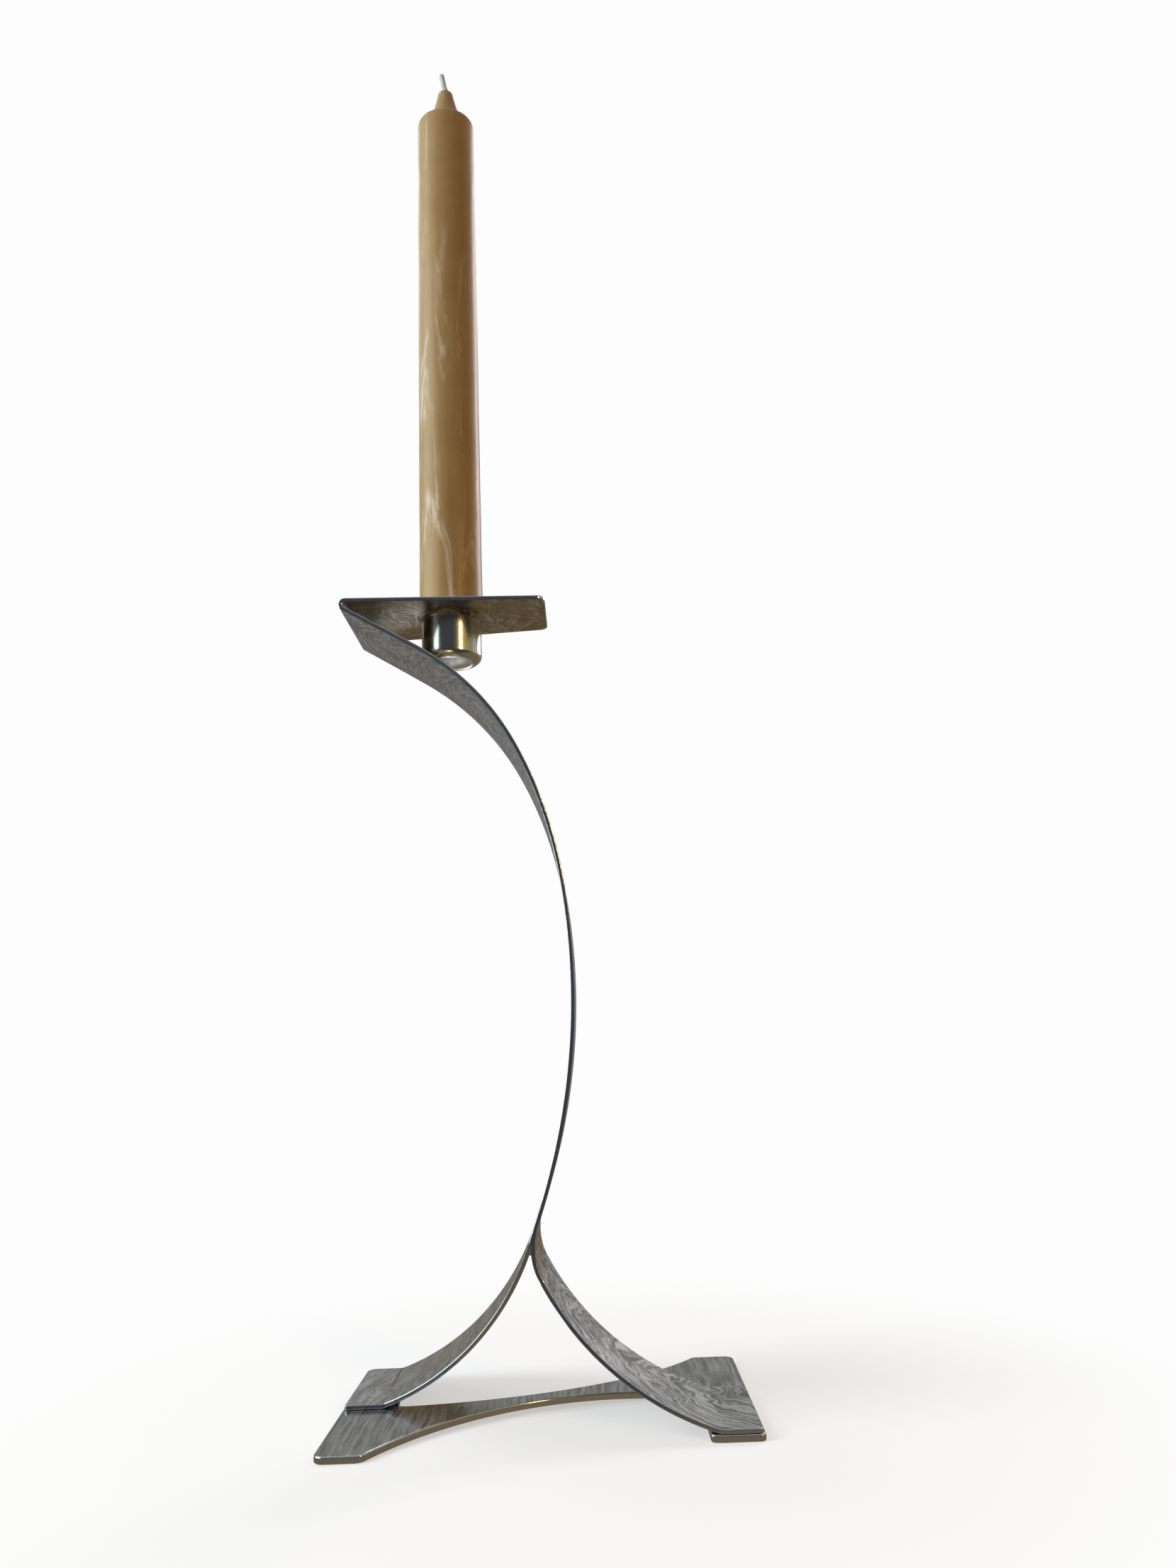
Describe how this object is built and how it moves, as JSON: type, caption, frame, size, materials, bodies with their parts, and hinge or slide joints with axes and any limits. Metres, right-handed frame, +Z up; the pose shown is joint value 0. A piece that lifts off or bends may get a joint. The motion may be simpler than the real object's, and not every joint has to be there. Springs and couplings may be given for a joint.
{
  "type": "candlestick",
  "caption": "Candlestick bent from brushed silver strip: a drip plate folds into a curved stem that splits into splayed legs on an arched bow-tie base, with a tall candle.",
  "frame": {"origin": "centre of the base plate's outline on the table", "axes": "+X along the base plate from the left foot to the right foot, +Y from front to back, +Z up"},
  "size_m": [0.123, 0.086, 0.4778],
  "materials": {
    "silver_brushed": "silver, hand brushed along and across the strip",
    "silver_polished": "silver, polished",
    "solder": "silver solder, dull",
    "wax": "tan wax with a soft sheen",
    "cotton": "braided white cotton"
  },
  "bodies": {
    "stick": {"base_plate": "silver_brushed", "main_strip": "silver_brushed", "left_leg": "silver_brushed", "candle_cup": "silver_polished", "cup_solder": "solder", "fork_solder": "solder", "left_foot_solder": "solder", "right_foot_solder": "solder"},
    "candle": {"candle": "wax", "wick": "cotton"}
  },
  "joints": [
    {"name": "candle_lift", "type": "slide", "parent": "stick", "child": "candle", "axis": [0, 0, 1], "range_m": [0, 0.03]}
  ]
}
